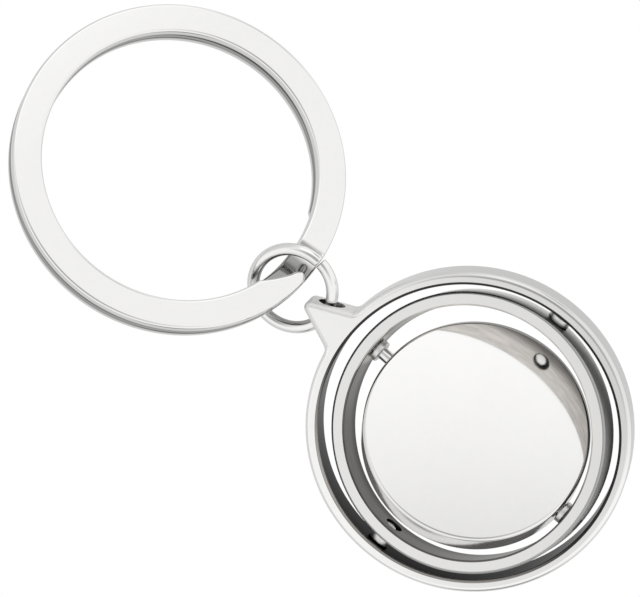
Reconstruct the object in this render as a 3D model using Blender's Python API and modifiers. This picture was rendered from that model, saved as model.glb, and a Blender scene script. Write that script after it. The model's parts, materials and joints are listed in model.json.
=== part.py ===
"""Gimbal keychain, hanging from the top of its split ring.

A flat split ring carries a round jump ring, and the jump ring carries a cast
ring with a drilled lug. Inside that ring a second ring turns on two pins, and
inside the second ring a thick disc turns on two more pins, square to the first.

Metres, +Z up. The origin is where the split ring hangs: inside it, at the top.
The split ring lies in the XZ plane and its front face looks along -Y.
"""

import math

import bmesh
import bpy
import numpy as np
from mathutils import Vector

# Split ring: two turns of one flat strip, stacked along Y
SPLIT_OUTER_RADIUS = 0.0160
STRIP_WIDTH = 0.00282
STRIP_THICKNESS = 0.00115
STRIP_EDGE_RADIUS = 0.0003
TURN_GAP = 0.00042
STEP_LENGTH = 0.0029
TONGUE_LENGTH = 0.0038
TONGUE_TIP_RADIUS = 0.0007

# Jump ring: round wire, bent to a circle with butted ends
JUMP_OUTER_RADIUS = 0.0045
JUMP_WIRE_RADIUS = 0.0006
JUMP_END_GAP = 0.0002
JUMP_END_OFFSET = 0.00012

# Outer ring and its lug
OUTER_BORE_RADIUS = 0.0142
OUTER_WALL = 0.0012
OUTER_DEPTH = 0.0037
OUTER_EDGE_RADIUS = 0.0002
LUG_PROJECTION = 0.0040
LUG_NOSE_RADIUS = 0.0006
LUG_BASE_HALF_WIDTH = 0.00225
LUG_FILLET_RADIUS = 0.0004
LUG_HOLE_RADIUS = 0.00118
LUG_NOSE_WALL = 0.00075

# Middle ring
MIDDLE_GAP = 0.0009
MIDDLE_WALL = 0.0013
MIDDLE_DEPTH = 0.0037
MIDDLE_EDGE_RADIUS = 0.00018

# Disc
DISC_GAP = 0.0013
DISC_THICKNESS = 0.0036
DISC_EDGE_RADIUS = 0.00045

# Pivot pins and the spacer collars on them
PIN_RADIUS = 0.00062
PIN_CHAMFER = 0.0001
PIN_SEAT_DEPTH = 0.0007
PIN_DISC_DEPTH = 0.0018
PIN_RECESS = 0.0001
PIVOT_CLEARANCE = 0.00028
DISC_PIVOT_CLEARANCE = 0.0001
COLLAR_RADIUS = 0.0011
COLLAR_CHAMFER = 0.0002
INNER_COLLAR_LENGTH = 0.00062

# Clearances that the pieces share
SEAT_GAP = 0.00005
HANG_GAP = 0.00002
CUT_OVERRUN = 0.001
WELD_DISTANCE = 0.000001

# How the pieces are turned at rest
JUMP_TWIST = math.radians(47.6)
OUTER_TWIST = math.radians(36.0)
JUMP_SIDE_ANGLE = math.radians(4.3)
JUMP_GAP_ANGLE = math.radians(-4.0)
STEP_END_ANGLE = math.radians(0.5)
MIDDLE_TURN = math.radians(-10.4)
DISC_TURN = math.radians(30.2)
FACE_FRONT = math.radians(90.0)

# Facets
TURN_STEPS = 64
CORNER_STEPS = 2
STEP_STATIONS = 10
TONGUE_STATIONS = 4
TIP_STATIONS = 5
TIP_START_ANGLE = math.radians(20.0)
WIRE_POINTS = 49
WIRE_RESOLUTION = 3
RING_STEPS = 80
FILLET_STEPS = 4
NOSE_STEPS = 10
PIN_SIDES = 20
BORE_SIDES = 28
SHARP_ANGLE = math.radians(30.0)

# Sizes that follow from the ones above
SPLIT_BORE_RADIUS = SPLIT_OUTER_RADIUS - STRIP_WIDTH
SPLIT_DEPTH = 2 * STRIP_THICKNESS + TURN_GAP
LAYER_OFFSET = (STRIP_THICKNESS + TURN_GAP) / 2
STRIP_MEAN_RADIUS = SPLIT_OUTER_RADIUS - STRIP_WIDTH / 2
STEP_ANGLE = STEP_LENGTH / STRIP_MEAN_RADIUS
JUMP_RADIUS = JUMP_OUTER_RADIUS - JUMP_WIRE_RADIUS

OUTER_RADIUS = OUTER_BORE_RADIUS + OUTER_WALL
LUG_TIP = OUTER_RADIUS + LUG_PROJECTION
LUG_HOLE_HEIGHT = LUG_TIP - LUG_NOSE_WALL - LUG_HOLE_RADIUS

MIDDLE_OUTER_RADIUS = OUTER_BORE_RADIUS - MIDDLE_GAP
MIDDLE_BORE_RADIUS = MIDDLE_OUTER_RADIUS - MIDDLE_WALL
PIVOT_HOLE_RADIUS = PIN_RADIUS + PIVOT_CLEARANCE
MIDDLE_DROP = PIVOT_CLEARANCE - SEAT_GAP

DISC_RADIUS = MIDDLE_BORE_RADIUS - DISC_GAP
DISC_HOLE_RADIUS = PIN_RADIUS + DISC_PIVOT_CLEARANCE
PIN_HOLE_RADIUS = PIN_RADIUS + SEAT_GAP

# A collar's flat end meets a bore along two lines, at the collar's own radius
OUTER_COLLAR_SEAT = math.sqrt(OUTER_BORE_RADIUS**2 - COLLAR_RADIUS**2) - SEAT_GAP
OUTER_COLLAR_END = MIDDLE_OUTER_RADIUS + SEAT_GAP
INNER_COLLAR_SEAT = math.sqrt(MIDDLE_BORE_RADIUS**2 - COLLAR_RADIUS**2) - SEAT_GAP
INNER_COLLAR_END = INNER_COLLAR_SEAT - INNER_COLLAR_LENGTH
DISC_SHIFT = INNER_COLLAR_END - SEAT_GAP - DISC_RADIUS

OUTER_PIN_END = OUTER_BORE_RADIUS + PIN_SEAT_DEPTH - SEAT_GAP
OUTER_PIN_START = MIDDLE_BORE_RADIUS + PIN_RECESS
INNER_PIN_END = MIDDLE_OUTER_RADIUS - PIN_RECESS
INNER_PIN_START = DISC_RADIUS - PIN_DISC_DEPTH
DISC_HOLE_DEPTH = PIN_DISC_DEPTH + DISC_SHIFT + SEAT_GAP


# Scene, materials and placing

def clear_scene():
    for item in list(bpy.data.objects):
        bpy.data.objects.remove(item, do_unlink=True)


def new_collection(name):
    collection = bpy.data.collections.new(name)
    bpy.context.scene.collection.children.link(collection)
    return collection


def move_to(item, collection):
    for owner in list(item.users_collection):
        owner.objects.unlink(item)
    collection.objects.link(item)


def metal(name, colour, roughness):
    material = bpy.data.materials.new(name)
    material.use_nodes = True
    shader = material.node_tree.nodes["Principled BSDF"]
    shader.inputs["Base Color"].default_value = (*colour, 1.0)
    shader.inputs["Metallic"].default_value = 1.0
    shader.inputs["Roughness"].default_value = roughness
    material.diffuse_color = (*colour, 1.0)
    return material


def empty(name, parent, location=(0, 0, 0), rotation=(0, 0, 0)):
    item = bpy.data.objects.new(name, None)
    item.empty_display_size = JUMP_RADIUS
    parts.objects.link(item)
    item.parent = parent
    item.location = location
    item.rotation_euler = rotation
    return item


def place(item, parent, material, location=(0, 0, 0), rotation=(0, 0, 0)):
    move_to(item, parts)
    item.parent = parent
    item.location = location
    item.rotation_euler = rotation
    item.data.materials.clear()
    item.data.materials.append(material)
    return item


def smooth(mesh):
    mesh.shade_smooth()
    mesh.set_sharp_from_angle(angle=SHARP_ANGLE)


# Shapes

def arc(centre, radius, start, end, steps):
    """Points along an arc, from the start angle to the end angle."""
    angles = [start + (end - start) * step / steps for step in range(steps + 1)]
    return [centre + radius * Vector((math.cos(a), math.sin(a))) for a in angles]


def rounded_section(low, high, half_depth, corner):
    """A closed section, down its outer side, with a round at each corner."""
    outer = high - corner
    inner = low + corner
    flat = half_depth - corner
    quarter = math.pi / 2
    corners = [(outer, flat, quarter), (outer, -flat, 0.0), (inner, -flat, -quarter), (inner, flat, -2 * quarter)]
    points = []
    for x, z, start in corners:
        points += arc(Vector((x, z)), corner, start, start - quarter, CORNER_STEPS)
    return points


def half_disc_section(radius, half_depth, corner):
    """An open section of a disc, from the axis on top, round the rim, to the axis below."""
    rim = radius - corner
    flat = half_depth - corner
    top = arc(Vector((rim, flat)), corner, math.pi / 2, 0.0, 2 * CORNER_STEPS)
    foot = arc(Vector((rim, -flat)), corner, 0.0, -math.pi / 2, 2 * CORNER_STEPS)
    return [Vector((0, half_depth)), *top, *foot, Vector((0, -half_depth))]


def turned(name, section, closed, steps):
    """A section turned about local Z."""
    mesh = bpy.data.meshes.new(name)
    count = len(section)
    edges = [(index, (index + 1) % count) for index in range(count if closed else count - 1)]
    mesh.from_pydata([(point.x, 0, point.y) for point in section], edges, [])
    item = bpy.data.objects.new(name, mesh)
    parts.objects.link(item)
    screw = item.modifiers.new("turn", "SCREW")
    screw.axis = "Z"
    screw.angle = 2 * math.pi
    screw.steps = steps
    screw.render_steps = steps
    screw.use_merge_vertices = True
    screw.merge_threshold = WELD_DISTANCE
    screw.use_smooth_shade = True
    return item


def cylinder(name, radius, length, sides):
    """A closed cylinder along local Z, centred on its own origin."""
    bpy.ops.mesh.primitive_cylinder_add(vertices=sides, radius=radius, depth=length)
    item = bpy.context.object
    item.name = name
    item.data.name = name
    return item


def cutter(name, parent, radius, start, end, direction):
    """A round cutter from one distance to another along a direction of its parent."""
    item = cylinder(name, radius, abs(end - start), BORE_SIDES)
    move_to(item, cutters)
    item.parent = parent
    item.location = direction * (start + end) / 2
    item.rotation_euler = direction.to_track_quat("Z", "Y").to_euler()
    item.hide_render = True
    item.display_type = "WIRE"
    return item


def cut(item, tool):
    modifier = item.modifiers.new(tool.name, "BOOLEAN")
    modifier.operation = "DIFFERENCE"
    modifier.solver = "EXACT"
    modifier.object = tool


def poly_curve(name, rows, dimensions):
    """A curve object whose splines are straight runs through given points."""
    data = bpy.data.curves.new(name, "CURVE")
    data.dimensions = dimensions
    for points, cyclic in rows:
        spline = data.splines.new("POLY")
        spline.points.add(len(points) - 1)
        for target, point in zip(spline.points, points):
            target.co = (*point.to_3d(), 1.0)
        spline.use_cyclic_u = cyclic
    item = bpy.data.objects.new(name, data)
    parts.objects.link(item)
    return item


def welded_mesh(item):
    """The curve object's solid as a welded mesh object, under the curve's name."""
    bpy.context.view_layer.update()
    evaluated = item.evaluated_get(bpy.context.evaluated_depsgraph_get())
    mesh = bpy.data.meshes.new_from_object(evaluated)
    shape = bmesh.new()
    shape.from_mesh(mesh)
    bmesh.ops.remove_doubles(shape, verts=shape.verts, dist=WELD_DISTANCE)
    bmesh.ops.recalc_face_normals(shape, faces=shape.faces)
    shape.to_mesh(mesh)
    shape.free()
    name = item.name
    matrix = item.matrix_world.copy()
    bpy.data.objects.remove(item, do_unlink=True)
    solid = bpy.data.objects.new(name, mesh)
    solid.matrix_world = matrix
    smooth(mesh)
    return solid


# Split ring

def strip_centre(angle):
    """The strip's middle at an angle walked from the front tongue's tip.

    The walk goes up the left side, over the top and down the right side in the
    front turn, steps back under the front tongue, and goes round once more.
    """
    step_start = 2 * math.pi - STEP_ANGLE
    share = min(1.0, max(0.0, (angle - step_start) / STEP_ANGLE))
    eased = share * share * (3 - 2 * share)
    around = STEP_END_ANGLE - angle
    outward = Vector((math.sin(around), 0, -math.cos(around)))
    depth = Vector((0, LAYER_OFFSET * (2 * eased - 1), 0))
    return outward, depth


def strip_frame(angle):
    """Outward direction, thickness direction and the middle point of the strip."""
    nudge = STEP_ANGLE / STEP_STATIONS / 2
    outward, depth = strip_centre(angle)
    before, depth_before = strip_centre(angle - nudge)
    after, depth_after = strip_centre(angle + nudge)
    travel = (after * STRIP_MEAN_RADIUS + depth_after) - (before * STRIP_MEAN_RADIUS + depth_before)
    across = outward.cross(travel.normalized()).normalized()
    return outward, across, depth


def tongue_width(distance):
    """Outer and inner edge, measured inward from the outer radius, near a strip end."""
    tip = TONGUE_TIP_RADIUS
    if distance < tip:
        half = math.sqrt(tip**2 - (tip - distance) ** 2)
        return tip - half, tip + half
    share = min(1.0, (distance - tip) / (TONGUE_LENGTH - tip))
    return 0.0, 2 * tip + (STRIP_WIDTH - 2 * tip) * share


def strip_angles(total):
    """Stations along the strip: close at the tongues and at the step, even between."""
    tip_turn = (math.pi / 2 - TIP_START_ANGLE) / TIP_STATIONS
    tips = [TONGUE_TIP_RADIUS * (1 - math.cos(TIP_START_ANGLE + tip_turn * k)) for k in range(TIP_STATIONS + 1)]
    taper = (TONGUE_LENGTH - TONGUE_TIP_RADIUS) / TONGUE_STATIONS
    tapers = [TONGUE_TIP_RADIUS + taper * (k + 1) for k in range(TONGUE_STATIONS)]
    near = [distance / STRIP_MEAN_RADIUS for distance in tips + tapers]
    step_end = 2 * math.pi
    step_start = step_end - STEP_ANGLE
    steps = [step_start + STEP_ANGLE * k / STEP_STATIONS for k in range(STEP_STATIONS + 1)]
    spacing = 2 * math.pi / TURN_STEPS
    front_count = round((step_start - near[-1]) / spacing)
    front = [near[-1] + (step_start - near[-1]) * k / front_count for k in range(1, front_count)]
    back_end = total - near[-1]
    back_count = round((back_end - step_end) / spacing)
    back = [step_end + (back_end - step_end) * k / back_count for k in range(1, back_count)]
    return near + front + steps + back + [total - angle for angle in reversed(near)]


def strip_station(angle, total):
    """The strip's rounded rectangular section, in space, at an angle of the walk."""
    outward, across, depth = strip_frame(angle)
    distance = min(angle, total - angle) * STRIP_MEAN_RADIUS
    outer_inset, inner_inset = tongue_width(distance)
    high = SPLIT_OUTER_RADIUS - outer_inset
    low = SPLIT_OUTER_RADIUS - inner_inset
    corner = min(STRIP_EDGE_RADIUS, (high - low) / 3)
    section = rounded_section(low, high, STRIP_THICKNESS / 2, corner)
    return [outward * point.x + across * point.y + depth for point in section]


def split_ring():
    total = 4 * math.pi - STEP_ANGLE
    stations = [strip_station(angle, total) for angle in strip_angles(total)]
    shape = bmesh.new()
    rings = [[shape.verts.new(point) for point in station] for station in stations]
    count = len(rings[0])
    for one, two in zip(rings, rings[1:]):
        for k in range(count):
            after = (k + 1) % count
            shape.faces.new((one[k], one[after], two[after], two[k]))
    shape.faces.new(rings[0])
    shape.faces.new(rings[-1])
    bmesh.ops.recalc_face_normals(shape, faces=shape.faces)
    mesh = bpy.data.meshes.new("split_ring")
    shape.to_mesh(mesh)
    shape.free()
    smooth(mesh)
    print(f"split ring: least gap between its turns {least_turn_gap(total) * 1000:.3f} mm")
    return bpy.data.objects.new("split_ring", mesh)


def least_turn_gap(total):
    """The least distance between points on the facing sides of the two turns."""
    turns = np.arange(0.0, total - 2 * math.pi, STEP_ANGLE / STEP_STATIONS)
    front = []
    back = []
    for angle in turns:
        for side, walk, found in ((1, angle, front), (-1, angle + 2 * math.pi, back)):
            outward, across, depth = strip_frame(walk)
            facing = across * STRIP_THICKNESS / 2
            if facing.y * side < 0:
                facing.negate()
            found.append(outward * STRIP_MEAN_RADIUS + facing + depth)
    front = np.array(front)
    back = np.array(back)
    return min(np.linalg.norm(back - point, axis=1).min() for point in front)


# Jump ring

def jump_ring_points():
    """The wire's middle line, in the local XZ plane, with its ends offset along Y."""
    mean_gap = JUMP_END_GAP / JUMP_RADIUS
    points = []
    for index in range(WIRE_POINTS):
        share = index / (WIRE_POINTS - 1)
        angle = JUMP_GAP_ANGLE + mean_gap / 2 + share * (2 * math.pi - mean_gap)
        side = JUMP_END_OFFSET * (share - 0.5)
        points.append(Vector((JUMP_RADIUS * math.cos(angle), side, JUMP_RADIUS * math.sin(angle))))
    return points


def jump_ring():
    item = poly_curve("jump_ring", [(jump_ring_points(), False)], "3D")
    item.data.bevel_depth = JUMP_WIRE_RADIUS
    item.data.bevel_resolution = WIRE_RESOLUTION
    item.data.use_fill_caps = True
    return item


def hanging_distance():
    """How far below the split ring's centre the jump ring's centre can hang.

    The jump ring's plane is turned by its twist from the split ring's plane, and
    its wire has to clear both turns of the strip wherever it slides to.
    """
    turn = np.linspace(0.0, 2 * math.pi, 721)
    side = JUMP_RADIUS * np.sin(turn)
    wire_y = side * math.sin(JUMP_TWIST)
    core_width = STRIP_WIDTH / 2 - STRIP_EDGE_RADIUS
    core_depth = SPLIT_DEPTH / 2 - STRIP_EDGE_RADIUS
    needed = JUMP_WIRE_RADIUS + STRIP_EDGE_RADIUS + HANG_GAP + JUMP_END_OFFSET / 2

    def clear(distance):
        wire_x = side * math.cos(JUMP_TWIST) - distance * math.sin(JUMP_SIDE_ANGLE)
        wire_z = JUMP_RADIUS * np.cos(turn) - distance * math.cos(JUMP_SIDE_ANGLE)
        beyond_width = np.maximum(np.abs(np.hypot(wire_x, wire_z) - STRIP_MEAN_RADIUS) - core_width, 0)
        beyond_depth = np.maximum(np.abs(wire_y) - core_depth, 0)
        return np.hypot(beyond_width, beyond_depth).min() >= needed

    low = STRIP_MEAN_RADIUS
    high = SPLIT_BORE_RADIUS + JUMP_RADIUS
    for _ in range(40):
        middle = (low + high) / 2
        if clear(middle):
            low = middle
        else:
            high = middle
    return low


# Outer ring with its lug

def lug_outline():
    """The lug's right side: fillet, flank and nose, from the ring upwards."""
    nose = Vector((0, LUG_TIP - LUG_NOSE_RADIUS))
    base = Vector((LUG_BASE_HALF_WIDTH, math.sqrt(OUTER_RADIUS**2 - LUG_BASE_HALF_WIDTH**2)))
    reach = base - nose
    swing = math.acos(LUG_NOSE_RADIUS / reach.length)
    contact = math.atan2(reach.y, reach.x) + swing
    normal = Vector((math.cos(contact), math.sin(contact)))
    flank = Vector((normal.y, -normal.x))
    start = nose + normal * (LUG_NOSE_RADIUS + LUG_FILLET_RADIUS)
    around = OUTER_RADIUS + LUG_FILLET_RADIUS
    along = -start.dot(flank) - math.sqrt(start.dot(flank) ** 2 - start.length_squared + around**2)
    fillet = start + flank * along
    ring_contact = math.atan2(fillet.y, fillet.x)
    fillet_start = ring_contact + math.pi
    fillet_end = contact + math.pi
    points = arc(fillet, LUG_FILLET_RADIUS, fillet_start, fillet_end, FILLET_STEPS)
    points += arc(nose, LUG_NOSE_RADIUS, contact, math.pi / 2, NOSE_STEPS // 2)
    return points, ring_contact


def outer_outline():
    """The ring's outer edge and its lug, in the plane of the ring, lug up."""
    side, ring_contact = lug_outline()
    mirrored = [Vector((-point.x, point.y)) for point in reversed(side[:-1])]
    turn = 2 * math.pi
    ring = arc(Vector((0, 0)), OUTER_RADIUS, math.pi - ring_contact, turn + ring_contact, RING_STEPS)
    return side + mirrored + ring[1:-1]


def flank_half_width(height):
    """Half the lug's width at a height above the ring's centre, on its flank."""
    side, _ = lug_outline()
    foot = side[FILLET_STEPS]
    top = side[FILLET_STEPS + 1]
    share = (height - foot.y) / (top.y - foot.y)
    return foot.x + (top.x - foot.x) * share


def outer_ring(parent):
    bore = arc(Vector((0, 0)), OUTER_BORE_RADIUS, 2 * math.pi, 0.0, RING_STEPS)[:-1]
    item = poly_curve("outer_ring", [(outer_outline(), True), (bore, True)], "2D")
    item.data.fill_mode = "BOTH"
    item.data.extrude = OUTER_DEPTH / 2 - OUTER_EDGE_RADIUS
    item.data.bevel_depth = OUTER_EDGE_RADIUS
    item.data.bevel_resolution = 1
    item.data.offset = -OUTER_EDGE_RADIUS
    item = welded_mesh(item)
    reach = LUG_BASE_HALF_WIDTH + CUT_OVERRUN
    lug_hole = cutter("lug_hole", parent, LUG_HOLE_RADIUS, -reach, reach, Vector((1, 0, 0)))
    lug_hole.location = (0, 0, 0)
    cut(item, lug_hole)
    for name, side in SIDES:
        seat = (OUTER_BORE_RADIUS - CUT_OVERRUN, OUTER_BORE_RADIUS + PIN_SEAT_DEPTH)
        tool = cutter(f"outer_seat_{name}", parent, PIN_HOLE_RADIUS, *seat, Vector((side, 0, 0)))
        tool.location.z = -LUG_HOLE_HEIGHT
        cut(item, tool)
    return item


# Middle ring and disc

def middle_ring(parent):
    section = rounded_section(MIDDLE_BORE_RADIUS, MIDDLE_OUTER_RADIUS, MIDDLE_DEPTH / 2, MIDDLE_EDGE_RADIUS)
    item = turned("middle_ring", section, True, RING_STEPS)
    reach = MIDDLE_OUTER_RADIUS + CUT_OVERRUN
    cut(item, cutter("outer_pivot_bore", parent, PIVOT_HOLE_RADIUS, -reach, reach, Vector((1, 0, 0))))
    cut(item, cutter("inner_pin_bore", parent, PIN_HOLE_RADIUS, -reach, reach, Vector((0, 0, 1))))
    return item


def disc(parent):
    item = turned("disc", half_disc_section(DISC_RADIUS, DISC_THICKNESS / 2, DISC_EDGE_RADIUS), False, RING_STEPS)
    for name, side in ENDS:
        tool = cutter(
            f"disc_pivot_bore_{name}",
            parent,
            DISC_HOLE_RADIUS,
            DISC_RADIUS - DISC_HOLE_DEPTH,
            DISC_RADIUS + CUT_OVERRUN,
            Vector((0, 0, side)),
        )
        cut(item, tool)
    return item


# Pins and collars

def pin(name, length):
    item = cylinder(name, PIN_RADIUS, length, PIN_SIDES)
    bevel = item.modifiers.new("chamfer", "BEVEL")
    bevel.width = PIN_CHAMFER
    bevel.segments = 1
    bevel.limit_method = "ANGLE"
    item.data.shade_smooth()
    item.data.set_sharp_from_angle(angle=SHARP_ANGLE)
    return item


def collar(name, length):
    half = length / 2
    bore = PIN_HOLE_RADIUS
    rim = COLLAR_RADIUS - COLLAR_CHAMFER
    shoulder = half - COLLAR_CHAMFER
    section = [(bore, half), (rim, half), (COLLAR_RADIUS, shoulder)]
    section += [(COLLAR_RADIUS, -shoulder), (rim, -half), (bore, -half)]
    return turned(name, [Vector(point) for point in section], True, BORE_SIDES)


def outer_pivots(parent):
    for name, side in SIDES:
        turned_out = (0, side * FACE_FRONT, 0)
        start = OUTER_PIN_START
        end = OUTER_PIN_END
        place(pin(f"outer_pin_{name}", end - start), parent, STEEL,
              (side * (start + end) / 2, 0, -LUG_HOLE_HEIGHT), turned_out)
        start = OUTER_COLLAR_END
        end = OUTER_COLLAR_SEAT
        place(collar(f"outer_collar_{name}", end - start), parent, STEEL,
              (side * (start + end) / 2, 0, -LUG_HOLE_HEIGHT), turned_out)


def inner_pivots(parent):
    for name, side in ENDS:
        start = INNER_PIN_START
        end = INNER_PIN_END
        place(pin(f"inner_pin_{name}", end - start), parent, STEEL, (0, 0, side * (start + end) / 2))
        start = INNER_COLLAR_END
        end = INNER_COLLAR_SEAT
        place(collar(f"inner_collar_{name}", end - start), parent, STEEL, (0, 0, side * (start + end) / 2))


# The chain, from the split ring down to the disc

SIDES = (("left", -1), ("right", 1))
ENDS = (("top", 1), ("bottom", -1))


def lug_hole_distance():
    """From the jump ring's centre down to the lug hole's centre.

    The wire bends upwards through the hole. The hole's centre is half way between
    the wire's lowest point and the height at which it leaves the mouths.
    """
    mouth = flank_half_width(LUG_HOLE_HEIGHT)
    lift = JUMP_RADIUS - math.sqrt(JUMP_RADIUS**2 - mouth**2)
    return JUMP_RADIUS - lift / 2


def build():
    split_centre = empty("split_ring_centre", None, (0, 0, -SPLIT_BORE_RADIUS))
    place(split_ring(), split_centre, SPLIT_STEEL)

    hang = hanging_distance()
    aside = hang * math.sin(JUMP_SIDE_ANGLE)
    jump_centre = Vector((-aside, 0, -hang * math.cos(JUMP_SIDE_ANGLE)))
    jump_turn = empty("jump_ring_turn", split_centre)
    place(jump_ring(), jump_turn, WIRE_STEEL, jump_centre, (0, 0, -JUMP_TWIST))

    # The outer ring leans so that its centre comes back under the split ring's centre
    hole_drop = lug_hole_distance()
    lean = math.asin(aside / ((hole_drop + LUG_HOLE_HEIGHT) * math.cos(OUTER_TWIST)))
    down = Vector((math.sin(lean) * math.cos(OUTER_TWIST), -math.sin(lean) * math.sin(OUTER_TWIST), -math.cos(lean)))
    lug_swing = empty("lug_swing", jump_turn, jump_centre + down * hole_drop, (0, -lean, -OUTER_TWIST))
    ring_place = (0, 0, -LUG_HOLE_HEIGHT)
    place(outer_ring(lug_swing), lug_swing, RING_METAL, ring_place, (FACE_FRONT, 0, 0))
    outer_pivots(lug_swing)

    middle_place = (0, 0, -LUG_HOLE_HEIGHT - MIDDLE_DROP)
    middle_turn = empty("middle_ring_turn", lug_swing, middle_place, (MIDDLE_TURN, 0, 0))
    place(middle_ring(middle_turn), middle_turn, RING_METAL, rotation=(FACE_FRONT, 0, 0))
    inner_pivots(middle_turn)

    disc_turn = empty("disc_turn", middle_turn, (0, 0, -DISC_SHIFT), (0, 0, DISC_TURN))
    place(disc(disc_turn), disc_turn, DISC_METAL, rotation=(FACE_FRONT, 0, 0))


clear_scene()
parts = new_collection("gimbal_keychain")
cutters = new_collection("cutters")
SPLIT_STEEL = metal("nickel_plated_strip", (0.80, 0.80, 0.79), 0.16)
WIRE_STEEL = metal("nickel_plated_wire", (0.78, 0.78, 0.77), 0.12)
RING_METAL = metal("polished_ring", (0.82, 0.81, 0.80), 0.10)
DISC_METAL = metal("mirror_disc", (0.86, 0.86, 0.85), 0.05)
STEEL = metal("pin_steel", (0.70, 0.69, 0.68), 0.22)
build()
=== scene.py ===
import json
import math

import bmesh
import bpy
import numpy as np
from mathutils import Matrix, Vector


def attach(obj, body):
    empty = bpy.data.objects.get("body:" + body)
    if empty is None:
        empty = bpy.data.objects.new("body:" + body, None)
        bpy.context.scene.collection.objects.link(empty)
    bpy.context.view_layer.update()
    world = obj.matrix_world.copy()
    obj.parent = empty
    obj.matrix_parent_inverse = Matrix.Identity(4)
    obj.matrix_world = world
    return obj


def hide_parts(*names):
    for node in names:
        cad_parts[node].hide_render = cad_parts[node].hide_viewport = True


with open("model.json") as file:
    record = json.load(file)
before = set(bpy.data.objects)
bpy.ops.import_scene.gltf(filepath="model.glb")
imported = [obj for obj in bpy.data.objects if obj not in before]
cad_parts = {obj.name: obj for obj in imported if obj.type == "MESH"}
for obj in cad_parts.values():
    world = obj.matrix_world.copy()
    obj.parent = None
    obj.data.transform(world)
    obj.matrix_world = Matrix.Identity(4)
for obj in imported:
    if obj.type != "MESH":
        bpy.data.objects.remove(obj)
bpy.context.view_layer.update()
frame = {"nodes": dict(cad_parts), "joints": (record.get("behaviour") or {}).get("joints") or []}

MM = 0.001
MICRON = 0.001 * MM
X_AXIS = (1, 0, 0)
Y_AXIS = (0, 1, 0)

# Camera

VIEW_ANGLE = math.radians(20.8)
IMAGE_DOWN_ANGLE = math.radians(42.4)
PIXELS_PER_MM = 10.64
IMAGE_WIDTH = 640
IMAGE_HEIGHT = 597
CAMERA_DISTANCE = 0.3
CAMERA_CLIP_START = 0.05
CAMERA_CLIP_END = 10.0
SENSOR_WIDTH = 36.0
# The outer ring's centre, and where it is seen in the frame
AIM_POINT = Vector((0.0, -0.00086, -0.05004))
AIM_PIXEL = (470.0, 430.0)

# Split ring

STRIP_THICKNESS = 1.15 * MM
STRIP_EDGE_RADIUS = 0.3 * MM
STEP_LENGTH = 2.9 * MM
STEP_END_ANGLE = math.radians(0.5)
TONGUE_LENGTH = 3.8 * MM
TONGUE_TIP_RADIUS = 0.7 * MM
TIP_START_ANGLE = math.radians(8.0)
SPLIT_STEPS = 320
STEP_STATIONS = 40
TONGUE_STATIONS = 16
TIP_STATIONS = 14

# Jump ring

JUMP_GAP_ANGLE = math.radians(-4.0)
JUMP_END_GAP = 0.2 * MM
JUMP_END_OFFSET = 0.12 * MM
JUMP_END_ROUND = 0.1 * MM
WIRE_STATIONS = 220
WIRE_SIDES = 40
# A face of the wire belongs to a cut end if it looks along the wire by more than this cosine
WIRE_END_FLATNESS = 0.9

# Outer ring and its lug

OUTER_EDGE_RADIUS = 0.5 * MM
OUTER_BORE_EDGE_RADIUS = 0.27 * MM
LUG_NOSE_RADIUS = 0.6 * MM
LUG_BASE_HALF_WIDTH = 2.25 * MM
LUG_FILLET_RADIUS = 0.8 * MM
LUG_HOLE_RADIUS = 1.18 * MM
PIN_SEAT_DEPTH = 0.7 * MM
NOSE_STEPS = 24
FILLET_STEPS = 12
FLANK_STEPS = 12

# Middle ring, disc, pins and collars

MIDDLE_EDGE_RADIUS = 0.25 * MM
MIDDLE_BORE_EDGE_RADIUS = 0.18 * MM
DISC_EDGE_RADIUS = 0.35 * MM
DISC_TURN = math.radians(30.2)
PIVOT_HOLE_RADIUS = 0.9 * MM
PIN_HOLE_RADIUS = 0.67 * MM
DISC_HOLE_RADIUS = 0.72 * MM
DISC_HOLE_DEPTH = 2.4 * MM
PIN_EDGE_RADIUS = 0.1 * MM
PIN_DOME_HEIGHT = 0.06 * MM
COLLAR_EDGE_RADIUS = 0.14 * MM
CUT_OVERRUN = 1.0 * MM

# Studio, in levels of light

STUDIO_FRONT = 1.02
STUDIO_BACK = 0.69
STUDIO_TOP = 0.72
# The range of a direction's Y that leads from front to back, and the range of its Z that leads to the top
STUDIO_DEPTH = (-0.3, 0.5)
STUDIO_HEIGHT = (0.5, 0.9)
# Azimuth, elevation, inner radius and outer radius in degrees, and level
STUDIO_PATCHES = (
    (24, 24, 15, 19.5, 1.2),
    (3, 10, 3, 13, 0.86),
    (-21, 3, 8, 40, 0.42),
    (-120, -45, 8, 24, 0.25),
    (50, 8, 4, 13, 0.3),
)

# Metals, with a soft cloud and fine hair lines in each

METAL_TINT = (1.0, 0.995, 0.985)
# A warmer tint, which the darkened bore metals take
WARM_TINT = (1.0, 0.955, 0.91)
TONE_SPREAD = 0.012
ROUGHNESS_SPREAD = 0.03
CLOUD_SCALE = 0.15
CLOUD_DETAIL = 3.0
HAIR_SCALE = 2.0
HAIR_DETAIL = 4.0
HAIR_SHARE = 0.5
NOISE_RANGE = (0.3, 0.7)
GRAIN_DEPTH = 0.1 * MICRON
EVEN_GRAIN = (1.0, 1.0, 1.0)
LATHE_GRAIN = (0.25, 0.25, 2.5)

# Numbers of the metals on a piece

PLAIN = 0
END = 1
FACE = 0
WALL = 1
HOLE = 2
BORE = 3
LUG_SIDE = 4
BORE_EDGE = 5

# Meshes

RING_STEPS = 320
EDGE_STEPS = 6
HOLE_STEPS = 64
PIN_STEPS = 48
SHARP_ANGLE = math.radians(32.0)
CAP_FLATNESS = 0.99999
MERGE_DISTANCE = 0.1 * MICRON
NORMAL_WEIGHT = 100
# A round takes at most this share of the width that carries it
CORNER_SHARE = 1 / 3


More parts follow.
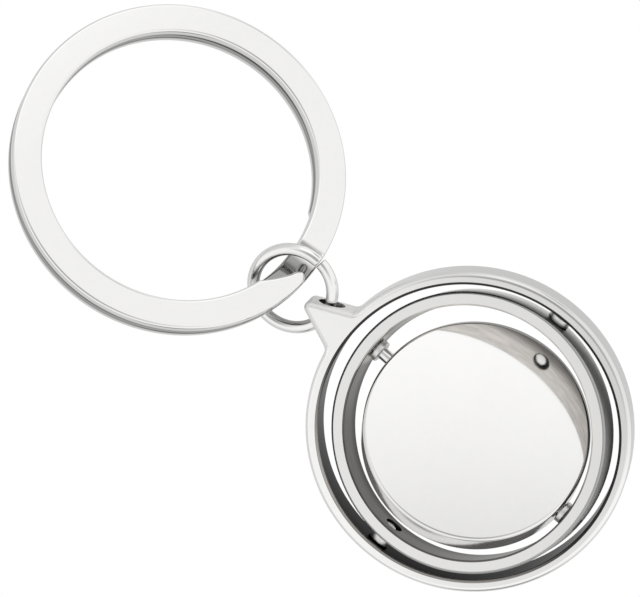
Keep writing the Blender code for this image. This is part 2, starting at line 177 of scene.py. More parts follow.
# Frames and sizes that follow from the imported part

def axes(origin, first, second):
    """A frame from its origin and its first two axes."""
    first = first.normalized()
    second = second.normalized()
    return Matrix.Translation(origin) @ Matrix((first, second, first.cross(second))).transposed().to_4x4()


def along(matrix, direction):
    """A frame with the same origin, whose third axis is a direction of another frame."""
    third = (matrix.to_3x3() @ Vector(direction)).normalized()
    first = third.orthogonal().normalized()
    return axes(matrix.translation, first, third.cross(first))


def cad_points(node):
    """The points of a CAD node."""
    return np.array([vertex.co[:] for vertex in frame["nodes"][node].data.vertices])


def local_points(node, matrix):
    """The points of a CAD node in a local frame."""
    inverse = np.array(matrix.inverted())
    return cad_points(node) @ inverse[:3, :3].T + inverse[:3, 3]


def flat_radius(points):
    """Distances of points from the third axis."""
    return np.hypot(points[:, 0], points[:, 1])


JOINTS = {row["name"]: (Vector(row["pos_m"]), Vector(row["axis"])) for row in frame["joints"]}
SPLIT_CENTRE = JOINTS["jump_ring_slides_round"][0]
LUG_POINT, CROSS_AXIS = JOINTS["lug_swings"]
MIDDLE_POINT = JOINTS["middle_ring_spins"][0]
DISC_POINT, DISC_AXIS = JOINTS["disc_spins"]

SPLIT_FRAME = axes(SPLIT_CENTRE, Vector((1, 0, 0)), Vector((0, 0, 1)))
split_points = local_points("split_ring", SPLIT_FRAME)
SPLIT_OUTER_RADIUS = float(flat_radius(split_points).max())
SPLIT_BORE_RADIUS = float(flat_radius(split_points).min())
SPLIT_HALF_DEPTH = float(split_points[:, 2].max())
STRIP_WIDTH = SPLIT_OUTER_RADIUS - SPLIT_BORE_RADIUS
STRIP_MEAN_RADIUS = (SPLIT_OUTER_RADIUS + SPLIT_BORE_RADIUS) / 2
LAYER_OFFSET = SPLIT_HALF_DEPTH - STRIP_THICKNESS / 2
STEP_ANGLE = STEP_LENGTH / STRIP_MEAN_RADIUS

# The outer ring's points are first taken from the lug's hole, then from its own centre
LUG_FRAME = axes(LUG_POINT, CROSS_AXIS, LUG_POINT - MIDDLE_POINT)
lug_points = local_points("outer_ring", LUG_FRAME)
OUTER_RADIUS = float(lug_points[:, 0].max())
OUTER_HALF_DEPTH = float(lug_points[:, 2].max())
LUG_HOLE_HEIGHT = float(-lug_points[:, 1].min()) - OUTER_RADIUS
LUG_TIP = float(lug_points[:, 1].max()) + LUG_HOLE_HEIGHT
OUTER_FRAME = LUG_FRAME @ Matrix.Translation((0, -LUG_HOLE_HEIGHT, 0))
OUTER_BORE_RADIUS = float(flat_radius(local_points("outer_ring", OUTER_FRAME)).min())

MIDDLE_FRAME = axes(MIDDLE_POINT, CROSS_AXIS, DISC_AXIS)
middle_points = local_points("middle_ring", MIDDLE_FRAME)
MIDDLE_RADIUS = float(flat_radius(middle_points).max())
MIDDLE_BORE_RADIUS = float(flat_radius(middle_points).min())
MIDDLE_HALF_DEPTH = float(middle_points[:, 2].max())

DISC_FRAME = axes(DISC_POINT, Matrix.Rotation(DISC_TURN, 3, DISC_AXIS) @ CROSS_AXIS, DISC_AXIS)
disc_points = local_points("disc", DISC_FRAME)
DISC_RADIUS = float(flat_radius(disc_points).max())
DISC_HALF_DEPTH = float(disc_points[:, 2].max())


# Mesh helpers

def arc(centre, radius, start, end, steps):
    """Points along an arc, from the start angle to the end angle."""
    angles = [start + (end - start) * step / steps for step in range(steps + 1)]
    return [Vector(centre) + radius * Vector((math.cos(a), math.sin(a))) for a in angles]


def grid_mesh(name, rows, wrap_rows, wrap_points, tags=None):
    """Quads between rows of points. The tags number the metals of the faces after each point of a row."""
    count = len(rows[0])
    mesh = bpy.data.meshes.new(name)
    points = [tuple(point) for row in rows for point in row]
    faces = []
    numbers = []
    for r in range(len(rows) if wrap_rows else len(rows) - 1):
        after = (r + 1) % len(rows)
        for k in range(count if wrap_points else count - 1):
            side = (k + 1) % count
            faces.append((r * count + k, r * count + side, after * count + side, after * count + k))
            numbers.append(tags[k] if tags else PLAIN)
    mesh.from_pydata(points, [], faces)
    mesh.polygons.foreach_set("material_index", numbers)
    return mesh


def add_object(name, mesh, matrix):
    """Adds a mesh to the scene at a frame."""
    item = bpy.data.objects.new(name, mesh)
    bpy.context.scene.collection.objects.link(item)
    item.matrix_world = matrix
    return item


def merge(mesh):
    """Joins the points that lie on each other and turns the faces outward."""
    shape = bmesh.new()
    shape.from_mesh(mesh)
    bmesh.ops.remove_doubles(shape, verts=shape.verts, dist=MERGE_DISTANCE)
    bmesh.ops.recalc_face_normals(shape, faces=shape.faces)
    shape.to_mesh(mesh)
    shape.free()


def bake(item):
    """Puts a piece's modifiers into its mesh."""
    bpy.context.view_layer.update()
    evaluated = item.evaluated_get(bpy.context.evaluated_depsgraph_get())
    item.data = bpy.data.meshes.new_from_object(evaluated)
    item.modifiers.clear()


def cut(item, tool):
    """Takes a tool out of a piece, and then the tool out of the scene."""
    modifier = item.modifiers.new(tool.name, "BOOLEAN")
    modifier.operation = "DIFFERENCE"
    modifier.solver = "EXACT"
    modifier.object = tool
    bake(item)
    bpy.data.objects.remove(tool)


def flatten_caps(mesh):
    """Gives every corner round a piece's flat front and back faces the shading of those faces."""
    normals = [Vector(corner.vector) for corner in mesh.corner_normals]
    caps = {}
    for polygon in mesh.polygons:
        if abs(polygon.normal.z) > CAP_FLATNESS:
            for vertex in polygon.vertices:
                caps[vertex] = Vector((0, 0, math.copysign(1, polygon.normal.z)))
    for loop in mesh.loops:
        cap = caps.get(loop.vertex_index)
        if cap and normals[loop.index].angle(cap, math.pi) < SHARP_ANGLE:
            normals[loop.index] = cap
    mesh.normals_split_custom_set(normals)


def finished(item, caps=True):
    """Gives flat faces their own shading and rounds a smooth one, then fixes the piece in the part's frame.

    The points keep their places on the piece's own axes, in millimetres, for the materials.
    """
    merge(item.data)
    item.data.shade_smooth()
    item.data.set_sharp_from_angle(angle=SHARP_ANGLE)
    weighted = item.modifiers.new("weighted", "WEIGHTED_NORMAL")
    weighted.keep_sharp = True
    weighted.weight = NORMAL_WEIGHT
    bake(item)
    mesh = item.data
    if caps:
        flatten_caps(mesh)
    place = mesh.attributes.new("place", "FLOAT_VECTOR", "POINT")
    place.data.foreach_set("vector", [value / MM for vertex in mesh.vertices for value in vertex.co])
    mesh.transform(item.matrix_world)
    item.matrix_world = Matrix()
    return item


def turned(name, section, matrix, tags=None, steps=RING_STEPS):
    """A closed section of (radius, height) points turned about a frame's third axis."""
    rows = []
    for step in range(steps):
        angle = 2 * math.pi * step / steps
        rows.append([Vector((r * math.cos(angle), r * math.sin(angle), z)) for r, z in section])
    mesh = grid_mesh(name, rows, True, True, tags)
    return add_object(name, mesh, matrix)


def rod(name, radius, start, end, matrix):
    """A plain closed rod along a frame's third axis, which cuts a hole."""
    low = Vector((0, 0, start))
    high = Vector((0, 0, end))
    rows = []
    for step in range(HOLE_STEPS):
        angle = 2 * math.pi * step / HOLE_STEPS
        across = Vector((math.cos(angle), math.sin(angle), 0)) * radius
        rows.append([low, across + low, across + high, high])
    mesh = grid_mesh(name, rows, True, False, [HOLE] * len(rows[0]))
    merge(mesh)
    return add_object(name, mesh, matrix)


def rounded_section(low, high, half_depth, corners, numbers=(PLAIN, PLAIN, PLAIN, PLAIN)):
    """A ring's closed section with round corners, and its metal numbers.

    The corners are the radii of the outer and the bore edges.
    The numbers are those of the front, the outer side, the back and the bore.
    A round takes the number of the side next to it.
    """
    quarter = math.pi / 2
    front, outer, back, bore = numbers
    wide, narrow = corners
    places = [(high - wide, half_depth - wide, wide, quarter, (outer, outer)),
              (high - wide, wide - half_depth, wide, 0.0, (outer, back)),
              (low + narrow, narrow - half_depth, narrow, -quarter, (bore, bore)),
              (low + narrow, half_depth - narrow, narrow, -2 * quarter, (bore, front))]
    points = []
    tags = []
    for x, z, corner, start, (on_round, after) in places:
        points += arc((x, z), corner, start, start - quarter, EDGE_STEPS)
        tags += [on_round] * EDGE_STEPS + [after]
    return points, tags


def closed_ends(rows):
    """Rows of a tube with a point in the middle of each end, which closes it."""
    first, last = ([sum(row, Vector()) / len(row)] * len(row) for row in (rows[0], rows[-1]))
    return [first] + rows + [last]


# Split ring

def strip_centre(angle):
    """The strip's outward direction and depth at an angle walked from the front tongue's tip."""
    step_start = 2 * math.pi - STEP_ANGLE
    share = min(1.0, max(0.0, (angle - step_start) / STEP_ANGLE))
    eased = share * share * (3 - 2 * share)
    around = STEP_END_ANGLE - angle
    outward = Vector((math.sin(around), -math.cos(around), 0))
    return outward, Vector((0, 0, -LAYER_OFFSET * (2 * eased - 1)))


def strip_frame(angle):
    """The strip's outward direction, the direction across its thickness, and its depth."""
    nudge = STEP_ANGLE / STEP_STATIONS / 2
    outward, depth = strip_centre(angle)
    before, depth_before = strip_centre(angle - nudge)
    after, depth_after = strip_centre(angle + nudge)
    travel = (after * STRIP_MEAN_RADIUS + depth_after) - (before * STRIP_MEAN_RADIUS + depth_before)
    return outward, outward.cross(travel.normalized()).normalized(), depth


def tongue_insets(distance):
    """How far the outer and the inner edge lie inside the outer radius, at a distance from a strip end."""
    tip = TONGUE_TIP_RADIUS
    if distance < tip:
        half = math.sqrt(tip**2 - (tip - distance) ** 2)
        return tip - half, tip + half
    share = min(1.0, (distance - tip) / (TONGUE_LENGTH - tip))
    return 0.0, 2 * tip + (STRIP_WIDTH - 2 * tip) * share


def angles_between(start, end):
    """Even angles inside a stretch of the strip."""
    count = round((end - start) / (2 * math.pi / SPLIT_STEPS))
    return [start + (end - start) * k / count for k in range(1, count)]


def strip_angles(total):
    """Angles of the strip's sections, which lie closer together on its tips and on its step."""
    tip_turn = (math.pi / 2 - TIP_START_ANGLE) / TIP_STATIONS
    turns = [TIP_START_ANGLE + tip_turn * k for k in range(TIP_STATIONS + 1)]
    near = [TONGUE_TIP_RADIUS * (1 - math.cos(turn)) for turn in turns]
    taper = (TONGUE_LENGTH - TONGUE_TIP_RADIUS) / TONGUE_STATIONS
    near += [TONGUE_TIP_RADIUS + taper * (k + 1) for k in range(TONGUE_STATIONS)]
    near = [distance / STRIP_MEAN_RADIUS for distance in near]
    far = [total - angle for angle in reversed(near)]
    step_end = 2 * math.pi
    step_start = step_end - STEP_ANGLE
    steps = [step_start + STEP_ANGLE * k / STEP_STATIONS for k in range(STEP_STATIONS + 1)]
    return near + angles_between(near[-1], step_start) + steps + angles_between(step_end, far[0]) + far


def split_ring():
    total = 4 * math.pi - STEP_ANGLE
    rows = []
    for angle in strip_angles(total):
        outward, across, depth = strip_frame(angle)
        outer_inset, inner_inset = tongue_insets(min(angle, total - angle) * STRIP_MEAN_RADIUS)
        high = SPLIT_OUTER_RADIUS - outer_inset
        low = SPLIT_OUTER_RADIUS - inner_inset
        corner = min(STRIP_EDGE_RADIUS, (high - low) * CORNER_SHARE)
        section, _ = rounded_section(low, high, STRIP_THICKNESS / 2, (corner, corner))
        rows.append([outward * point.x + across * point.y + depth for point in section])
    mesh = grid_mesh("split_ring_strip", closed_ends(rows), False, True)
    return finished(add_object("split_ring_strip", mesh, SPLIT_FRAME))


# Jump ring

def jump_frame():
    """A frame at the jump ring's centre, its outer radius and its half depth, from its CAD node."""
    points = cad_points("jump_ring")
    _, _, directions = np.linalg.svd(points - points.mean(axis=0), full_matrices=False)
    axis = Vector(directions[2])
    # The axis points to the front
    if axis.y > 0:
        axis.negate()
    up = Vector((0, 0, 1))
    matrix = axes(Vector(points.mean(axis=0)), up.cross(axis), up)
    inside = local_points("jump_ring", matrix)
    centre = (inside.max(axis=0) + inside.min(axis=0)) / 2
    half = (inside.max(axis=0) - inside.min(axis=0)) / 2
    return matrix @ Matrix.Translation(centre), float(half[1]), float(half[2])


def wire_stations(length):
    """Distances along the wire, each with the share of the end round that is off its radius there."""
    turns = [math.pi / 2 * step / EDGE_STEPS for step in range(EDGE_STEPS + 1)]
    near = [(JUMP_END_ROUND * (1 - math.cos(turn)), 1 - math.sin(turn)) for turn in turns]
    far = [(length - distance, inset) for distance, inset in reversed(near)]
    run = length - 2 * JUMP_END_ROUND
    body = [(JUMP_END_ROUND + run * k / WIRE_STATIONS, 0.0) for k in range(1, WIRE_STATIONS)]
    return near + body + far


def jump_ring():
    matrix, outer_radius, half_depth = jump_frame()
    wire = half_depth - JUMP_END_OFFSET / 2
    radius = outer_radius - wire
    gap = JUMP_END_GAP / radius
    sweep = 2 * math.pi - gap
    length = sweep * radius
    turns = [2 * math.pi * side / WIRE_SIDES for side in range(WIRE_SIDES)]
    rows = []
    for distance, inset in wire_stations(length):
        share = distance / length
        angle = JUMP_GAP_ANGLE + gap / 2 + share * sweep
        outward = Vector((math.cos(angle), math.sin(angle), 0))
        centre = outward * radius - Vector((0, 0, JUMP_END_OFFSET * (share - 1 / 2)))
        around = [outward * math.cos(turn) + Vector((0, 0, math.sin(turn))) for turn in turns]
        rows.append([centre + (wire - JUMP_END_ROUND * inset) * direction for direction in around])
    mesh = grid_mesh("jump_ring_wire", closed_ends(rows), False, True)
    merge(mesh)
    for polygon in mesh.polygons:
        travel = Vector((-polygon.center.y, polygon.center.x, 0)).normalized()
        if abs(polygon.normal.dot(travel)) > WIRE_END_FLATNESS:
            polygon.material_index = END
    return finished(add_object("jump_ring_wire", mesh, matrix), caps=False)


# Outer ring with its lug

def lug_side():
    """Points and outward directions up the lug's right side, and the ring angle where they start."""
    nose = Vector((0, LUG_TIP - LUG_NOSE_RADIUS))
    base = Vector((LUG_BASE_HALF_WIDTH, math.sqrt(OUTER_RADIUS**2 - LUG_BASE_HALF_WIDTH**2)))
    reach = base - nose
    contact = math.atan2(reach.y, reach.x) + math.acos(LUG_NOSE_RADIUS / reach.length)
    normal = Vector((math.cos(contact), math.sin(contact)))
    flank = Vector((normal.y, -normal.x))
    # The fillet's centre is the fillet's radius away from the flank and from the ring
    start = nose + normal * (LUG_NOSE_RADIUS + LUG_FILLET_RADIUS)
    around = OUTER_RADIUS + LUG_FILLET_RADIUS
    distance = -start.dot(flank) - math.sqrt(start.dot(flank) ** 2 - start.length_squared + around**2)
    fillet = start + flank * distance
    ring_contact = math.atan2(fillet.y, fillet.x)
    points = []
    for point in arc(fillet, LUG_FILLET_RADIUS, ring_contact + math.pi, contact + math.pi, FILLET_STEPS):
        points.append((point, (fillet - point).normalized()))
    foot = points[-1][0]
    top = nose + normal * LUG_NOSE_RADIUS
    for step in range(1, FLANK_STEPS):
        points.append((foot.lerp(top, step / FLANK_STEPS), normal))
    for point in arc(nose, LUG_NOSE_RADIUS, contact, math.pi / 2, NOSE_STEPS // 2):
        points.append((point, (point - nose).normalized()))
    return points, ring_contact


def outer_ring_outline():
    """Points and outward directions round the lug and the ring, and the ring angle at the lug's foot."""
    side, ring_contact = lug_side()
    mirror = [(Vector((-p.x, p.y)), Vector((-n.x, n.y))) for p, n in reversed(side[:-1])]
    ring = arc((0, 0), OUTER_RADIUS, math.pi - ring_contact, 2 * math.pi + ring_contact, RING_STEPS)
    return side + mirror + [(point, point.normalized()) for point in ring[1:-1]], ring_contact


def edge_profile(corner):
    """Insets and heights down a side of the outer ring, from the front face's edge to the back face's."""
    turns = [math.pi / 2 * step / EDGE_STEPS for step in range(EDGE_STEPS + 1)]
    flat = OUTER_HALF_DEPTH - corner
    down = [(corner * (1 - math.sin(turn)), flat + corner * math.cos(turn)) for turn in turns]
    return down + [(inset, -height) for inset, height in reversed(down)]


def outer_ring():
    outline, ring_contact = outer_ring_outline()
    outer_profile = edge_profile(OUTER_EDGE_RADIUS)
    bore_profile = list(reversed(edge_profile(OUTER_BORE_EDGE_RADIUS)))
    rows = []
    for point, normal in outline:
        outward = point.normalized()
        outside = [(*(point - normal * inset), height) for inset, height in outer_profile]
        inside = [(*(outward * (OUTER_BORE_RADIUS + inset)), height) for inset, height in bore_profile]
        rows.append(outside + inside)
    tags = [WALL] * (len(outer_profile) - 1) + [FACE]
    tags += [BORE_EDGE] * EDGE_STEPS + [BORE] + [BORE_EDGE] * EDGE_STEPS + [FACE]
    item = add_object("outer_ring_body", grid_mesh("outer_ring_body", rows, True, True, tags), OUTER_FRAME)
    merge(item.data)
    reach = LUG_BASE_HALF_WIDTH + CUT_OVERRUN
    cut(item, rod("lug_hole", LUG_HOLE_RADIUS, -reach, reach, along(LUG_FRAME, X_AXIS)))
    for sign in (1, -1):
        seat = (sign * (OUTER_BORE_RADIUS - CUT_OVERRUN), sign * (OUTER_BORE_RADIUS + PIN_SEAT_DEPTH))
        cut(item, rod("seat", PIN_HOLE_RADIUS, min(seat), max(seat), along(OUTER_FRAME, X_AXIS)))
    # The lug keeps the softer skin of the casting on its sides
    for polygon in item.data.polygons:
        if polygon.material_index == WALL and polygon.center.y > OUTER_RADIUS * math.sin(ring_contact):
            polygon.material_index = LUG_SIDE
    return finished(item)


# Middle ring and disc

def middle_ring():
    corners = (MIDDLE_EDGE_RADIUS, MIDDLE_BORE_EDGE_RADIUS)
    numbers = (FACE, WALL, FACE, BORE)
    section, tags = rounded_section(MIDDLE_BORE_RADIUS, MIDDLE_RADIUS, MIDDLE_HALF_DEPTH, corners, numbers)
    item = turned("middle_ring_body", section, MIDDLE_FRAME, tags)
    merge(item.data)
    reach = MIDDLE_RADIUS + CUT_OVERRUN
    cut(item, rod("pivot_hole", PIVOT_HOLE_RADIUS, -reach, reach, along(MIDDLE_FRAME, X_AXIS)))
    cut(item, rod("pin_hole", PIN_HOLE_RADIUS, -reach, reach, along(MIDDLE_FRAME, Y_AXIS)))
    return finished(item)


def disc():
    corner = DISC_EDGE_RADIUS
    rim = DISC_RADIUS - corner
    flat = DISC_HALF_DEPTH - corner
    steps = 2 * EDGE_STEPS
    section = [(0, DISC_HALF_DEPTH)]
    section += [tuple(point) for point in arc((rim, flat), corner, math.pi / 2, 0, steps)]
    section += [tuple(point) for point in arc((rim, -flat), corner, 0, -math.pi / 2, steps)]
    section += [(0, -DISC_HALF_DEPTH)]
    tags = [FACE] + [WALL] * (2 * steps + 1) + [FACE, FACE]
    item = turned("disc_body", section, DISC_FRAME, tags)
    merge(item.data)
    for sign in (1, -1):
        hole = (sign * (DISC_RADIUS - DISC_HOLE_DEPTH), sign * (DISC_RADIUS + CUT_OVERRUN))
        cut(item, rod("disc_hole", DISC_HOLE_RADIUS, min(hole), max(hole), along(DISC_FRAME, Y_AXIS)))
    return finished(item)


# Pins and collars

def measured(node, axle):
    """A turned node's distances from its axle, its half length, and a frame at its middle."""
    points = local_points(node, axle)
    low = float(points[:, 2].min())
    high = float(points[:, 2].max())
    return flat_radius(points), (high - low) / 2, axle @ Matrix.Translation((0, 0, (low + high) / 2))


def pin(node, axle):
    """A solid pin with round edges and slightly domed ends."""
    distances, half, middle = measured(node, axle)
    edge = PIN_EDGE_RADIUS
    rise = PIN_DOME_HEIGHT
    rim = float(distances.max()) - edge
    bend = (rim**2 + rise**2) / (2 * rise)
    end = arc((0, half - bend), bend, math.pi / 2, math.pi / 2 - math.asin(rim / bend), EDGE_STEPS)
    end += arc((rim, half - rise - edge), edge, math.pi / 2, 0, EDGE_STEPS)[1:]
    section = [tuple(point) for point in end] + [(r, -z) for r, z in reversed(end)]
    tags = [END] * EDGE_STEPS + [PLAIN] * (2 * EDGE_STEPS + 1) + [END] * EDGE_STEPS + [PLAIN]
    return finished(turned(f"{node}_body", section, middle, tags, PIN_STEPS))


def collar(node, axle):
    """A turned collar with round edges."""
    distances, half, middle = measured(node, axle)
    bore = float(distances.min())
    radius = float(distances.max())
    corner = min(COLLAR_EDGE_RADIUS, (radius - bore) * CORNER_SHARE)
    section, tags = rounded_section(bore, radius, half, (corner, corner))
    return finished(turned(f"{node}_body", section, middle, tags, PIN_STEPS))


# Camera and world

def make_camera():
    toward = Vector((-math.sin(VIEW_ANGLE), -math.cos(VIEW_ANGLE), 0))
    side = Vector((math.cos(VIEW_ANGLE), -math.sin(VIEW_ANGLE), 0))
    up = Vector((0, 0, 1))
    # The hanging direction runs to the lower right of the frame
    turn = math.pi / 2 - IMAGE_DOWN_ANGLE
    right = side * math.cos(turn) - up * math.sin(turn)
    upward = side * math.sin(turn) + up * math.cos(turn)
    across = (AIM_PIXEL[0] - IMAGE_WIDTH / 2) / PIXELS_PER_MM * MM
    down = (AIM_PIXEL[1] - IMAGE_HEIGHT / 2) / PIXELS_PER_MM * MM
    centre = AIM_POINT - right * across + upward * down
    data = bpy.data.cameras.new("camera")
    data.sensor_width = SENSOR_WIDTH
    data.lens = SENSOR_WIDTH * CAMERA_DISTANCE * PIXELS_PER_MM / MM / IMAGE_WIDTH
    data.clip_start = CAMERA_CLIP_START
    data.clip_end = CAMERA_CLIP_END
    camera = bpy.data.objects.new("camera", data)
    bpy.context.scene.collection.objects.link(camera)
    rotation = Matrix((right, upward, toward)).transposed()
    camera.matrix_world = Matrix.Translation(centre + toward * CAMERA_DISTANCE) @ rotation.to_4x4()
    bpy.context.scene.camera = camera


def towards(azimuth, elevation):
    """A direction from its azimuth, 0 at the front and positive to the right, and its elevation."""
    across = math.cos(elevation)
    return (math.sin(azimuth) * across, -math.cos(azimuth) * across, math.sin(elevation))


class Tree:
    """Shorthand for adding joined nodes."""

    def __init__(self, tree):
        self.nodes = tree.nodes
        self.links = tree.links

    def add(self, kind, inputs=(), **settings):
        node = self.nodes.new(kind)
        for name, value in settings.items():
            setattr(node, name, value)
        for place, value in dict(inputs).items():
            if isinstance(value, bpy.types.NodeSocket):
                self.links.new(value, node.inputs[place])
            else:
                node.inputs[place].default_value = value
        return node

    def ramp(self, value, start, end, low, high):
        inputs = {0: value, 1: start, 2: end, 3: low, 4: high}
        return self.add("ShaderNodeMapRange", inputs, interpolation_type="SMOOTHSTEP").outputs[0]

    def mix(self, share, low, high):
        return self.add("ShaderNodeMix", {0: share, 2: low, 3: high}).outputs[0]

    def noise(self, place, scale, detail):
        inputs = {"Vector": place, "Scale": scale, "Detail": detail}
        return self.add("ShaderNodeTexNoise", inputs).outputs[0]

    def scalar(self, operation, *values):
        return self.add("ShaderNodeMath", enumerate(values), operation=operation).outputs[0]

    def vector(self, operation, *values):
        node = self.add("ShaderNodeVectorMath", enumerate(values), operation=operation)
        return node.outputs["Value" if operation in ("DOT_PRODUCT", "LENGTH") else "Vector"]


def make_world():
    """A studio for the reflections, with brighter and darker patches, behind a plain white backdrop."""
    world = bpy.data.worlds.new("studio")
    bpy.context.scene.world = world
    world.use_nodes = True
    world.node_tree.nodes.clear()
    tree = Tree(world.node_tree)
    direction = tree.add("ShaderNodeTexCoord").outputs["Generated"]
    split = tree.add("ShaderNodeSeparateXYZ", {0: direction})
    level = tree.ramp(split.outputs["Y"], *STUDIO_DEPTH, STUDIO_FRONT, STUDIO_BACK)
    level = tree.mix(tree.ramp(split.outputs["Z"], *STUDIO_HEIGHT, 0.0, 1.0), level, STUDIO_TOP)
    for azimuth, elevation, inner, outer, value in STUDIO_PATCHES:
        axis = towards(math.radians(azimuth), math.radians(elevation))
        angle = tree.scalar("ARCCOSINE", tree.vector("DOT_PRODUCT", direction, axis))
        share = tree.ramp(angle, math.radians(inner), math.radians(outer), 1.0, 0.0)
        level = tree.mix(share, level, value)
    lit = tree.add("ShaderNodeBackground", {"Color": level}).outputs[0]
    seen = tree.add("ShaderNodeBackground", {"Color": (1, 1, 1, 1)}).outputs[0]
    camera_ray = tree.add("ShaderNodeLightPath").outputs["Is Camera Ray"]
    mix = tree.add("ShaderNodeMixShader", {0: camera_ray, 1: lit, 2: seen})
    tree.add("ShaderNodeOutputWorld", {"Surface": mix.outputs[0]})


# Materials

def metal(name, tone, roughness, painted_shading=(), grain=EVEN_GRAIN, streaks=TONE_SPREAD, tint=METAL_TINT,
          glance=1.0):
    """A metal whose tone, roughness and surface vary on the piece's own axes, in millimetres.

    Each entry of the painted shading is a measure, two values of it, and the share of the tone at each of
    them; it paints shade or light into the tone. A measure is a place along an axis, the radius from the
    third axis, or the depth, which is the distance along that axis.
    The streaks are the share of the tone that the hair lines take.
    The glance is the share of light kept where the surface is seen along itself.
    """
    material = bpy.data.materials.new(name)
    material.use_nodes = True
    tree = Tree(material.node_tree)
    shader = tree.nodes["Principled BSDF"]
    place = tree.add("ShaderNodeAttribute", attribute_name="place").outputs["Vector"]
    cloud = tree.noise(place, CLOUD_SCALE, CLOUD_DETAIL)
    hair = tree.noise(tree.vector("MULTIPLY", place, grain), HAIR_SCALE, HAIR_DETAIL)
    parts = tree.add("ShaderNodeSeparateXYZ", {0: place})
    measures = {axis: parts.outputs[axis] for axis in "XYZ"}
    measures["radius"] = tree.vector("LENGTH", tree.vector("MULTIPLY", place, (1, 1, 0)))
    measures["depth"] = tree.scalar("ABSOLUTE", parts.outputs["Z"])
    value = tree.ramp(cloud, *NOISE_RANGE, tone * (1.0 - TONE_SPREAD), tone)
    shares = [tree.ramp(hair, *NOISE_RANGE, 1.0 - streaks, 1.0)]
    shares += [tree.ramp(measures[measure], *fade) for measure, *fade in painted_shading]
    for share in shares:
        value = tree.scalar("MULTIPLY", value, share)
    tree.links.new(tree.vector("MULTIPLY", value, tint), shader.inputs["Base Color"])
    blend = tree.mix(HAIR_SHARE, cloud, hair)
    uneven = tree.ramp(blend, *NOISE_RANGE, roughness, roughness + ROUGHNESS_SPREAD)
    tree.links.new(uneven, shader.inputs["Roughness"])
    bump = tree.add("ShaderNodeBump", {"Height": hair, "Strength": 1.0, "Distance": GRAIN_DEPTH})
    tree.links.new(bump.outputs[0], shader.inputs["Normal"])
    shader.inputs["Metallic"].default_value = 1.0
    shader.inputs["Specular Tint"].default_value = (glance, glance, glance, 1.0)
    return material


def dress(item, body, nodes, materials):
    """Gives a piece its materials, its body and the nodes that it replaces."""
    for material in materials:
        item.data.materials.append(material)
    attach(item, body)
    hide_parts(*nodes)


bpy.context.scene.view_settings.view_transform = "Standard"
make_camera()
make_world()

# Painted shade and light of the metals

# Each is a measure, two values of it in millimetres, and the share of the tone at each of them, which paints
# shade or light into the tone
OUTER_SPAN = OUTER_HALF_DEPTH / MM
MIDDLE_SPAN = MIDDLE_HALF_DEPTH / MM
# Painted shade: the split ring's strip darkens towards its middle depth, between its two turns and on its
# step
STRIP_PAINTED_SHADE = (("depth", 0.3, 0.8, 0.4, 1.0),)
# Painted shade and reflection: the wire darkens on the inner side of the jump ring
WIRE_PAINTED_SHADE = (("radius", 3.2, 3.75, 0.3, 1.0),)
# Painted shade: the outer ring's face darkens away from the lug and towards +X
OUTER_FACE_PAINTED_SHADE = (("Y", -15.0, 5.0, 0.84, 1.0), ("X", 2.0, 14.0, 1.0, 0.88))
# Painted shade: the outer ring's wall darkens towards +X
OUTER_WALL_PAINTED_SHADE = (("X", 4.0, 14.0, 1.0, 0.82),)
# Painted shade: the outer ring's bore darkens towards +Z and away from the lug
OUTER_BORE_PAINTED_SHADE = (("Z", -OUTER_SPAN, OUTER_SPAN, 1.0, 0.3), ("Y", -10.0, 12.0, 0.15, 1.0))
# Painted shade: the rounds of the outer ring's bore darken from the -X side towards +X
OUTER_BORE_EDGE_PAINTED_SHADE = (("X", -13.0, -1.0, 1.0, 0.1),)
# Painted reflection and shade: the middle ring's wall darkens towards +Z, as where it reflects the outer
# ring's dark bore
MIDDLE_WALL_PAINTED_SHADE = (("Z", -0.6, MIDDLE_SPAN, 1.0, 0.5),)
# Painted shade and light on the middle ring's bore: the first and the last darken it towards -X and -Z, the
# second lightens its top, and the third lightens the seat of the upper inner collar with painted light
MIDDLE_BORE_PAINTED_SHADE_AND_LIGHT = (
    ("X", 1.0, 9.0, 0.22, 1.0),
    ("Y", 9.5, 11.8, 1.0, 1.5),
    ("Y", 11.82, 11.92, 1.0, 2.6),
    ("Z", -1.5, 0.2, 0.25, 1.0),
)
# Painted shade: the disc's side darkens towards +X
DISC_SIDE_PAINTED_SHADE = (("X", 4.0, 9.0, 1.0, 0.35),)
SHADED_COLLAR_FADES = (("Z", -0.25, 0.15, 0.2, 1.0),)

# Metals of the pieces, in the order of their numbers

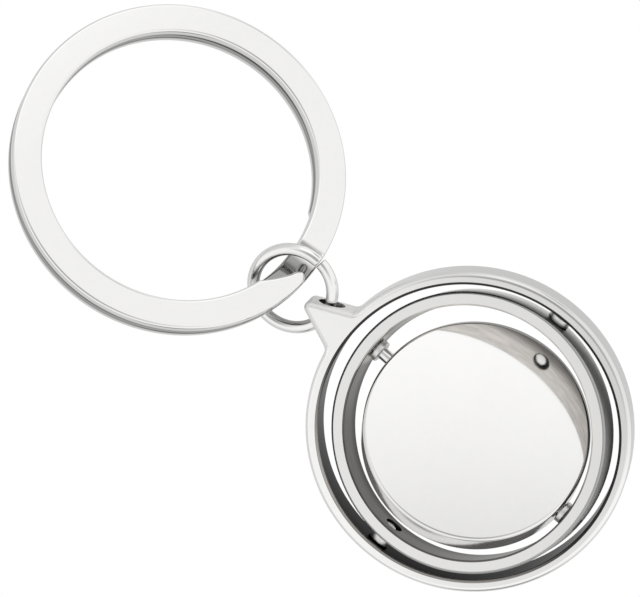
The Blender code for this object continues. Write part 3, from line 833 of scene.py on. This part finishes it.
STRIP_METAL = metal("plated_strip", tone=0.87, roughness=0.07, painted_shading=STRIP_PAINTED_SHADE)
WIRE_METALS = (
    metal("plated_wire", tone=0.88, roughness=0.07, painted_shading=WIRE_PAINTED_SHADE),
    # The wire's cut ends are painted nearly black, as painted shade in the gap between them
    metal("cut_wire_painted_shade", tone=0.08, roughness=0.3),
)
OUTER_METALS = (
    metal("outer_face", tone=0.96, roughness=0.07, painted_shading=OUTER_FACE_PAINTED_SHADE),
    metal("outer_wall", tone=0.92, roughness=0.18, painted_shading=OUTER_WALL_PAINTED_SHADE, grain=LATHE_GRAIN),
    # The lug's hole and the pin seats are painted dark, as painted shade inside them
    metal("outer_hole", tone=0.3, roughness=0.25),
    # The outer ring's bore is painted nearly black, as painted shade inside the ring
    metal("outer_bore", tone=0.06, roughness=0.2, painted_shading=OUTER_BORE_PAINTED_SHADE, grain=LATHE_GRAIN,
          streaks=0.1, glance=0.55),
    metal("lug_side", tone=0.86, roughness=0.55),
    # The bore's rounds are painted darker than the face, as painted shade at the bore's edges
    metal("outer_bore_edge", tone=0.48, roughness=0.2, painted_shading=OUTER_BORE_EDGE_PAINTED_SHADE, grain=LATHE_GRAIN,
          tint=WARM_TINT, glance=0.6),
)
MIDDLE_METALS = (
    metal("middle_face", tone=0.78, roughness=0.07),
    metal("middle_wall", tone=0.88, roughness=0.45, painted_shading=MIDDLE_WALL_PAINTED_SHADE, grain=LATHE_GRAIN),
    # The pivot and pin holes are painted nearly black, as painted shade inside them
    metal("middle_hole", tone=0.05, roughness=0.3),
    metal("middle_bore", tone=0.76, roughness=0.22, painted_shading=MIDDLE_BORE_PAINTED_SHADE_AND_LIGHT, grain=LATHE_GRAIN,
          streaks=0.25, tint=WARM_TINT, glance=0.85),
)
DISC_METALS = (
    metal("disc_face", tone=0.87, roughness=0.06),
    metal("disc_side", tone=0.88, roughness=0.1, painted_shading=DISC_SIDE_PAINTED_SHADE, grain=LATHE_GRAIN),
    # The disc's holes are painted nearly black, as painted shade inside them
    metal("disc_hole", tone=0.1, roughness=0.3),
)
TURNED_PIN = metal("turned_pin", tone=0.84, roughness=0.1)
PIN_END = metal("pin_end", tone=0.98, roughness=0.3)
# The left outer pin's end is painted darker, as painted shade on it in its hole
SHADED_PIN_END = metal("shaded_pin_end", tone=0.5, roughness=0.3)
COLLAR_METAL = metal("turned_collar", tone=0.86, roughness=0.38)
SHADED_COLLAR_METAL = metal("shaded_collar", tone=0.86, roughness=0.38, painted_shading=SHADED_COLLAR_FADES)

# Pieces

dress(split_ring(), "key_ring", ["split_ring"], [STRIP_METAL])
dress(jump_ring(), "link", ["jump_ring"], WIRE_METALS)
dress(outer_ring(), "outer_gimbal", ["outer_ring"], OUTER_METALS)
dress(middle_ring(), "middle_gimbal", ["middle_ring"], MIDDLE_METALS)
dress(disc(), "medallion", ["disc"], DISC_METALS)
for kind, body, matrix, direction, sides in (
    ("outer", "outer_gimbal", OUTER_FRAME, X_AXIS, ("left", "right")),
    ("inner", "middle_gimbal", MIDDLE_FRAME, Y_AXIS, ("top", "bottom")),
):
    axle = along(matrix, direction)
    for side in sides:
        pin_node = f"{kind}_pin_{side}"
        pin_metals = [TURNED_PIN, SHADED_PIN_END if side == "left" else PIN_END]
        dress(pin(pin_node, axle), body, [pin_node], pin_metals)
        collar_node = f"{kind}_collar_{side}"
        collar_metal = SHADED_COLLAR_METAL if side == "right" else COLLAR_METAL
        dress(collar(collar_node, axle), body, [collar_node], [collar_metal])
